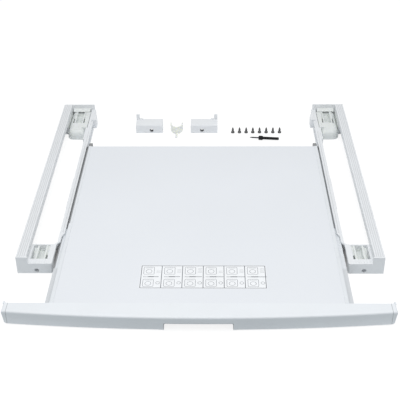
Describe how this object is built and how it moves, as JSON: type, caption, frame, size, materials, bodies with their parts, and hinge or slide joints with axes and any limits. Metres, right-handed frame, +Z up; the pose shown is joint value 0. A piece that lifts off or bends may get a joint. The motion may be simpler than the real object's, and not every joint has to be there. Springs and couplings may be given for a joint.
{
  "type": "stacking kit",
  "caption": "Stacking kit that stands a tumble dryer on a washer, with a pull-out worktop shelf between two low side frames and its fixing parts.",
  "frame": {"origin": "on the ground, under the middle of the kit's box with the shelf drawn 100 mm out", "axes": "+Z up, -Y to the front, where the shelf comes out, +X to the right as seen from the front"},
  "size_m": [0.598, 0.683, 0.033],
  "materials": {
    "frame_plastic": "moulded, fine satin",
    "insert_plastic": "moulded, satin",
    "glide_plastic": "extruded, satin",
    "fascia_plastic": "moulded, fine satin",
    "board_laminate": "melamine faced, fine pearl",
    "edging": "satin",
    "label_film": "satin film",
    "grip_rubber": "matt",
    "black_plastic": "moulded, satin",
    "clip_plastic": "translucent, satin",
    "zinc_steel": "zinc plated",
    "dark_steel": "blackened"
  },
  "bodies": {
    "frames": {"left_outer_rail": "frame_plastic", "left_inner_rail": "frame_plastic", "left_rail_screws": "zinc_steel", "left_front_block": "frame_plastic", "left_front_foot_seat": "insert_plastic", "left_rear_block": "frame_plastic", "left_rear_foot_cup": "insert_plastic", "left_front_grip_pad": "grip_rubber", "left_rear_grip_pad": "grip_rubber", "right_outer_rail": "frame_plastic", "right_inner_rail": "frame_plastic", "right_rail_screws": "zinc_steel", "right_front_block": "frame_plastic", "right_front_foot_seat": "insert_plastic", "right_rear_block": "frame_plastic", "right_rear_foot_cup": "insert_plastic", "right_front_grip_pad": "grip_rubber", "right_rear_grip_pad": "grip_rubber"},
    "shelf": {"shelf_panel": "board_laminate", "rear_edge_strip": "edging", "left_glide": "glide_plastic", "right_glide": "glide_plastic", "glide_screws": "zinc_steel", "fascia": "fascia_plastic", "fascia_screws": "zinc_steel", "left_end_cap": "fascia_plastic", "right_end_cap": "fascia_plastic", "left_stop_clip": "black_plastic", "right_stop_clip": "black_plastic", "label_plate": "label_film"},
    "left_bracket": {"left_bracket": "frame_plastic"},
    "right_bracket": {"right_bracket": "frame_plastic"},
    "spacer_clip": {"spacer_clip": "clip_plastic"},
    "mounting_screws": {"mounting_screws": "zinc_steel"},
    "driver": {"driver_handle": "black_plastic", "driver_shaft": "dark_steel"}
  },
  "joints": [
    {"name": "shelf_slide", "type": "slide", "parent": "frames", "child": "shelf", "axis": [0, -1, 0], "range_m": [-0.0996, 0.236]},
    {"name": "left_bracket_lift", "type": "slide", "parent": "frames", "child": "left_bracket", "axis": [0, 0, 1], "range_m": [0, 0.04]},
    {"name": "right_bracket_lift", "type": "slide", "parent": "frames", "child": "right_bracket", "axis": [0, 0, 1], "range_m": [0, 0.04]},
    {"name": "spacer_clip_lift", "type": "slide", "parent": "frames", "child": "spacer_clip", "axis": [0, 0, 1], "range_m": [0, 0.04]},
    {"name": "mounting_screws_lift", "type": "slide", "parent": "frames", "child": "mounting_screws", "axis": [0, 0, 1], "range_m": [0, 0.04]},
    {"name": "driver_lift", "type": "slide", "parent": "frames", "child": "driver", "axis": [0, 0, 1], "range_m": [0, 0.04]}
  ]
}
